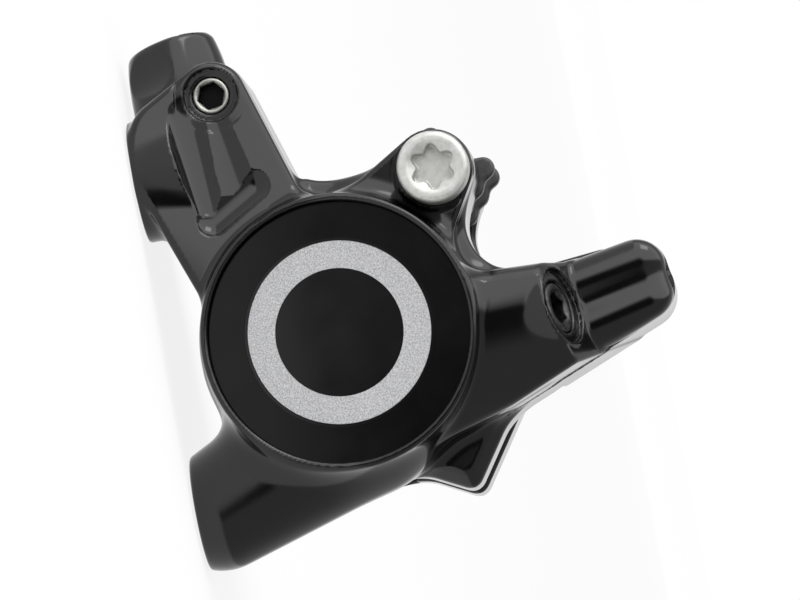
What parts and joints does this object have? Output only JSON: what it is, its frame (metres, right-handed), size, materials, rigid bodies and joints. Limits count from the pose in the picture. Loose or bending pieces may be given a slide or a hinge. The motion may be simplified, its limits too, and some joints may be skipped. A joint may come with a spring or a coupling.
{
  "type": "bicycle disc brake caliper",
  "caption": "Hydraulic flat-mount bicycle disc brake caliper in gloss black: split body with opposed pistons, pads on an axle bolt, a round cap with a silver ring, hose port and bleed screw.",
  "frame": {"origin": "on the flat base, midway between the centres of the two frame bolts", "axes": "+X along the frame tube toward the wheel's hub, +Y across the rotor toward the wheel's spokes, +Z away from the frame tube"},
  "size_m": [0.0552, 0.0395, 0.0515],
  "materials": {
    "black_anodised": "gloss black anodised forging with machined pockets",
    "cap_black": "satin black anodised, turned",
    "badge_black": "deep gloss black",
    "silver_paint": "fine sparkling silver paint",
    "bolt_steel": "satin stainless steel",
    "dark_steel": "black oxide steel, bright where it is worn",
    "pad_steel": "black coated steel plate",
    "friction_compound": "rough sintered friction material",
    "spring_steel": "bare spring steel",
    "piston_metal": "turned and hard anodised",
    "insulator": "moulded phenolic",
    "seal_rubber": "matt black rubber"
  },
  "bodies": {
    "housing": {"outboard_body": "black_anodised", "inboard_body": "black_anodised", "bore_cap": "cap_black", "cap_badge": "badge_black", "cap_ring": "silver_paint", "cap_seal": "seal_rubber", "body_bolts": "dark_steel", "crossover_seal": "seal_rubber", "passage_plug": "dark_steel", "piston_seal_outboard": "seal_rubber", "piston_seal_inboard": "seal_rubber", "pad_axle_bolt": "bolt_steel", "axle_clip": "spring_steel", "pad_spring": "spring_steel"},
    "outer_piston": {"piston_outboard": "piston_metal", "piston_insulator_outboard": "insulator"},
    "inner_piston": {"piston_inboard": "piston_metal", "piston_insulator_inboard": "insulator"},
    "outer_pad": {"pad_plate_outboard": "pad_steel", "pad_friction_outboard": "friction_compound"},
    "inner_pad": {"pad_plate_inboard": "pad_steel", "pad_friction_inboard": "friction_compound"},
    "bleeder": {"bleed_screw": "dark_steel", "bleed_seal": "seal_rubber"}
  },
  "joints": [
    {"name": "outer_piston_slide", "type": "slide", "parent": "housing", "child": "outer_piston", "axis": [0, 1, 0], "range_m": [0, 0.0013], "stiffness_N_per_m": 1500, "deforming": ["pad_spring"]},
    {"name": "inner_piston_slide", "type": "slide", "parent": "housing", "child": "inner_piston", "axis": [0, -1, 0], "range_m": [0, 0.0013]},
    {"name": "outer_pad_slide", "type": "slide", "parent": "housing", "child": "outer_pad", "axis": [0, 1, 0], "range_m": [0, 0.0013]},
    {"name": "inner_pad_slide", "type": "slide", "parent": "housing", "child": "inner_pad", "axis": [0, -1, 0], "range_m": [0, 0.0013]},
    {"name": "bleed_screw_turn", "type": "hinge", "parent": "housing", "child": "bleeder", "pos_m": [0.00353, -0.0032, 0.04016], "axis": [-0.126, -0.3714, 0.9199], "range_deg": [0, 180]}
  ],
  "couplings": [
    {"joint": "inner_piston_slide", "follows": "outer_piston_slide", "ratio": 1},
    {"joint": "outer_pad_slide", "follows": "outer_piston_slide", "ratio": 1},
    {"joint": "inner_pad_slide", "follows": "outer_piston_slide", "ratio": 1}
  ]
}
